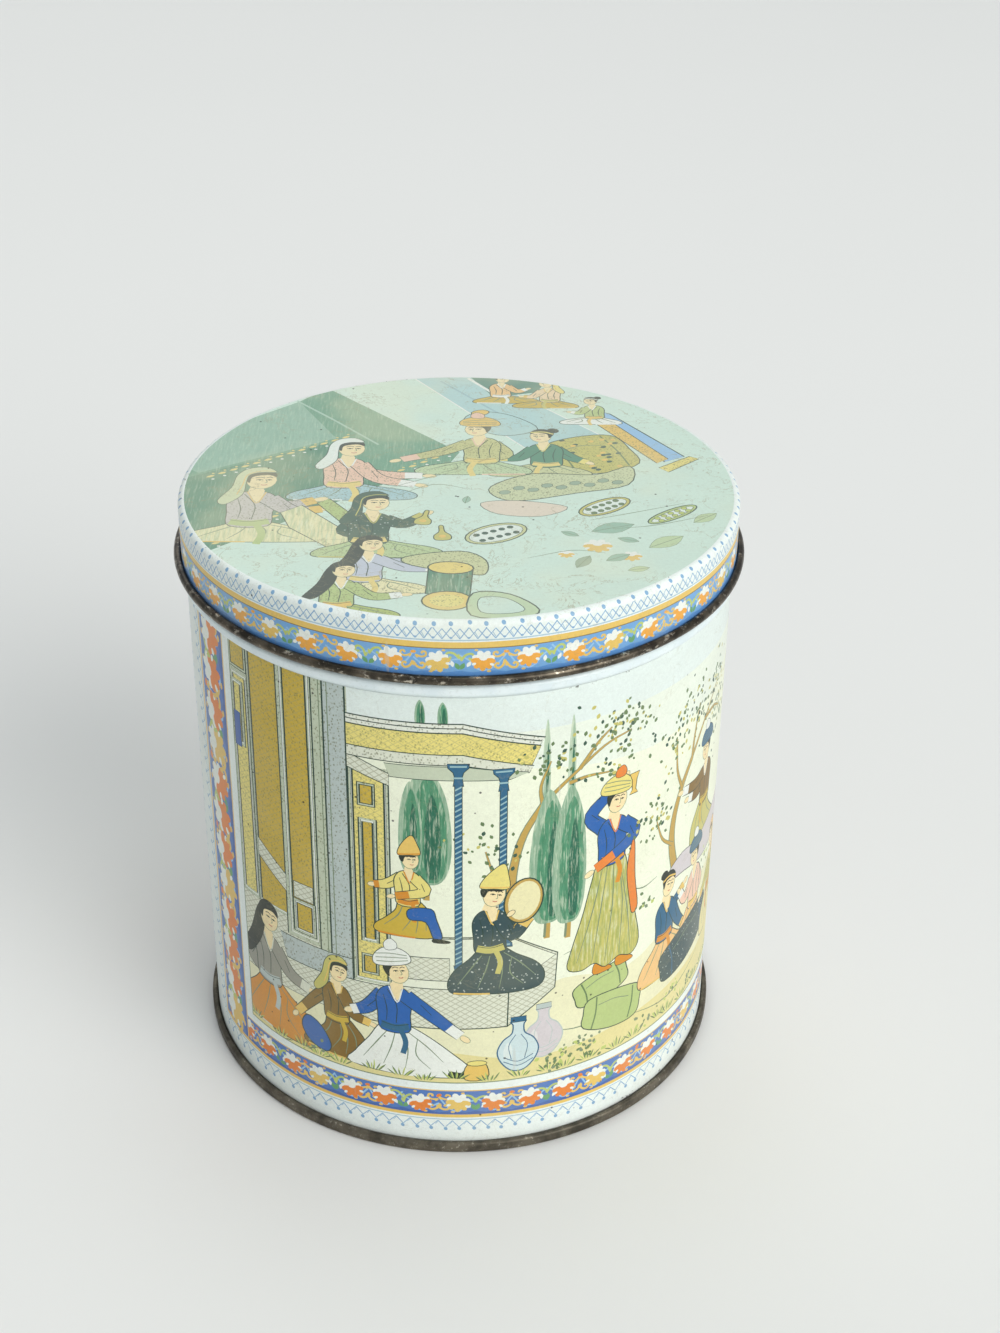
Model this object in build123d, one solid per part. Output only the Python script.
from build123d import *
import os

# Round slip-lid tin in rolled and drawn tinplate, in millimetres.
# The origin is the centre of the circle that the tin stands on, +Z up and the front towards -Y.
# Every piece but the side seam is round about Z, so each one starts as a section in X and Z.

# Sheet and overall sizes
SHEET = 0.28             # tinplate thickness, the same in every piece
BODY_RADIUS = 52.5       # outside of the rolled body wall
OVERALL_HEIGHT = 120.0   # floor to the top of the closed lid

# Lid
LID_CLEARANCE = 0.40     # between the body neck and the inside of the skirt, all round
LID_SEAT_GAP = 0.40      # between the body rim and the underside of the lid
LID_HEIGHT = 11.95       # top of the lid to the lowest point of its curl
LID_SHOULDER = 1.25      # outside radius between the flat top and the skirt
LID_CURL = 1.70          # diameter of the outward curl at the foot of the skirt

# Body rim and stop bead
RIM_CURL = 1.50          # diameter of the inward curl at the mouth
BEAD_PROTRUSION = 0.90   # how far the stop bead stands out of the wall
BEAD_HEIGHT = 3.05       # height of the stop bead
BEAD_GAP = 0.30          # between the stop bead and the lid curl above it
BEAD_CREST_RADIUS = 0.85
BEAD_FOOT_RADIUS = 0.40

# Double seam at the base
SEAM_HEIGHT = 2.36       # floor to the top of the seam
SEAM_GAP = 0.16          # between one layer of the seam and the next
SEAM_BEND = 0.40         # bend radius at the middle of the sheet
COVER_HOOK_GAP = 0.12    # between the downturned edge of the base and the body's bend below it

# Base panel
CHUCK_CLEARANCE = 0.05   # between the base's upright wall and the inside of the body
COUNTERSINK = 3.20       # floor to the underside of the base panel
COUNTERSINK_RADIUS = 1.00
STEP_RADIUS = 43.0       # middle of the ring step that stiffens the base panel
STEP_WIDTH = 3.0
STEP_RISE = 0.60
STEP_BEND = 0.50

# Sealing compound
COMPOUND_HEIGHT = 0.44
COMPOUND_CLEARANCE = 0.06
COMPOUND_TOP_GAP = 0.14  # below the fold, whose corners are rounded

# Side seam
SEAM_AZIMUTH = 105.0     # degrees from the front, towards the right
FOLD_WIDTH = 4.5
FOLD_LAYERS = 3          # sheets folded against the inside of the wall
FOLD_END_GAP = 1.5       # from the ends of the fold to the base panel and to the stop bead
GROOVE_WIDTH = 0.40
GROOVE_DEPTH = 0.12

# Places worked out from the sizes above
HALF = SHEET / 2
WALL_R = BODY_RADIUS - HALF
SKIRT_R = BODY_RADIUS + LID_CLEARANCE + HALF
LID_PLATE_Z = OVERALL_HEIGHT - HALF
RIM_TOP = OVERALL_HEIGHT - SHEET - LID_SEAT_GAP
LID_CURL_Z = OVERALL_HEIGHT - LID_HEIGHT + LID_CURL / 2
BEAD_TOP = OVERALL_HEIGHT - LID_HEIGHT - BEAD_GAP
BEAD_FOOT = BEAD_TOP - BEAD_HEIGHT
LAYER = SHEET + SEAM_GAP
COVER_HOOK_R = WALL_R + LAYER
BODY_HOOK_R = COVER_HOOK_R + LAYER
SEAM_WALL_R = BODY_HOOK_R + LAYER
CHUCK_R = BODY_RADIUS - SHEET - CHUCK_CLEARANCE - HALF
PANEL_Z = COUNTERSINK + HALF
CURL_STOP = 68.0         # degrees short of a full turn where a curled edge ends
FLANGE_Z = SHEET + SEAM_GAP + HALF
COVER_HOOK_END = FLANGE_Z + SHEET + COVER_HOOK_GAP
COMPOUND_TOP = SEAM_HEIGHT - SHEET - COMPOUND_TOP_GAP
BODY_HOOK_TOP = COMPOUND_TOP - COMPOUND_HEIGHT - COMPOUND_CLEARANCE - HALF


def section(centre_line):
    """Give a centre line in X and Z the sheet's thickness, with rounded edges, right of the axis."""
    face = make_face(centre_line.offset_2d(HALF))
    reach = 2 * OVERALL_HEIGHT + 2 * BODY_RADIUS
    right_half = Pos(reach / 2, 0) * Rectangle(reach, 2 * reach)
    return Plane.XZ * (face & right_half)


def turned(centre_line):
    """Revolve the sheet along a centre line about Z."""
    return revolve(section(centre_line), Axis.Z)


def make_body_wall():
    """Rolled wall with its inward rim curl, stop bead, outward base hook and folded side seam."""
    crest_r = WALL_R + BEAD_PROTRUSION
    lead = (BEAD_HEIGHT - SHEET) / 4
    rim_r = (RIM_CURL - SHEET) / 2
    rim_z = RIM_TOP - RIM_CURL / 2
    wall = FilletPolyline(
        (BODY_HOOK_R, BODY_HOOK_TOP),
        (BODY_HOOK_R, FLANGE_Z),
        (WALL_R, FLANGE_Z),
        (WALL_R, BEAD_FOOT + HALF),
        (crest_r, BEAD_FOOT + HALF + lead),
        (crest_r, BEAD_TOP - HALF - lead),
        (WALL_R, BEAD_TOP - HALF),
        (WALL_R, rim_z),
        radius=(SEAM_BEND, SEAM_BEND, BEAD_FOOT_RADIUS, BEAD_CREST_RADIUS,
                BEAD_CREST_RADIUS, BEAD_FOOT_RADIUS))
    rim = CenterArc((WALL_R - rim_r, rim_z), rim_r, 0, 360 - CURL_STOP)
    shell = turned(Wire([*wall.edges(), *rim.edges()]))

    fold_low = PANEL_Z + HALF + STEP_RISE + FOLD_END_GAP
    fold_high = BEAD_FOOT - FOLD_END_GAP
    fold_length = fold_high - fold_low
    fold_inner = BODY_RADIUS - SHEET * (1 + FOLD_LAYERS)
    ring = Circle(WALL_R) - Circle(fold_inner)
    strip = ring & (Pos(WALL_R, 0) * Rectangle(2 * FOLD_LAYERS, FOLD_WIDTH))
    fold = Pos(0, 0, fold_low) * extrude(strip, fold_length)
    fold = fillet(fold.edges().filter_by(Axis.Z).sort_by(SortBy.DISTANCE)[:2], HALF)
    groove_low = SEAM_HEIGHT + SEAM_GAP
    groove = Polygon((BODY_RADIUS - GROOVE_DEPTH, 0), (BODY_RADIUS + GROOVE_DEPTH, -GROOVE_WIDTH),
                     (BODY_RADIUS + GROOVE_DEPTH, GROOVE_WIDTH), align=None)
    cutter = Pos(0, 0, groove_low) * extrude(groove, BEAD_FOOT - groove_low)
    to_seam = Rot(0, 0, SEAM_AZIMUTH - 90)
    return shell + to_seam * fold - to_seam * cutter


def make_base_end():
    """Countersunk base with a ring step, and the edge that wraps the body's hook."""
    step_in = STEP_RADIUS - STEP_WIDTH / 2
    step_out = STEP_RADIUS + STEP_WIDTH / 2
    fold_z = SEAM_HEIGHT - HALF
    line = FilletPolyline(
        (-STEP_RADIUS, PANEL_Z + STEP_RISE),
        (step_in, PANEL_Z + STEP_RISE),
        (step_out, PANEL_Z),
        (CHUCK_R, PANEL_Z),
        (CHUCK_R, HALF),
        (SEAM_WALL_R, HALF),
        (SEAM_WALL_R, fold_z),
        (COVER_HOOK_R, fold_z),
        (COVER_HOOK_R, COVER_HOOK_END),
        radius=(STEP_BEND, STEP_BEND, COUNTERSINK_RADIUS, SEAM_BEND, SEAM_BEND, SEAM_BEND, SEAM_BEND))
    return turned(line)


def make_seam_compound():
    """Ring of sealing compound in the fold above the body's hook."""
    inner = COVER_HOOK_R + HALF + COMPOUND_CLEARANCE
    outer = SEAM_WALL_R - HALF - COMPOUND_CLEARANCE
    middle = Pos((inner + outer) / 2, COMPOUND_TOP - COMPOUND_HEIGHT / 2)
    profile = middle * Rectangle(outer - inner, COMPOUND_HEIGHT)
    return revolve(Plane.XZ * profile, Axis.Z)


def make_lid_cap():
    """Drawn lid: flat top, rounded shoulder, straight skirt and an outward curl."""
    curl_r = (LID_CURL - SHEET) / 2
    cap = FilletPolyline(
        (-BODY_RADIUS, LID_PLATE_Z),
        (SKIRT_R, LID_PLATE_Z),
        (SKIRT_R, LID_CURL_Z),
        radius=LID_SHOULDER - HALF)
    curl = CenterArc((SKIRT_R + curl_r, LID_CURL_Z), curl_r, 180, 360 - CURL_STOP)
    return turned(Wire([*cap.edges(), *curl.edges()]))


PIECES = {
    "body_wall": make_body_wall,
    "base_end": make_base_end,
    "seam_compound": make_seam_compound,
    "lid_cap": make_lid_cap,
}

os.makedirs("parts", exist_ok=True)
for name, make in PIECES.items():
    piece = make()
    export_step(piece, f"parts/{name}.step")
    print(name, f"{piece.volume:.1f} mm3")
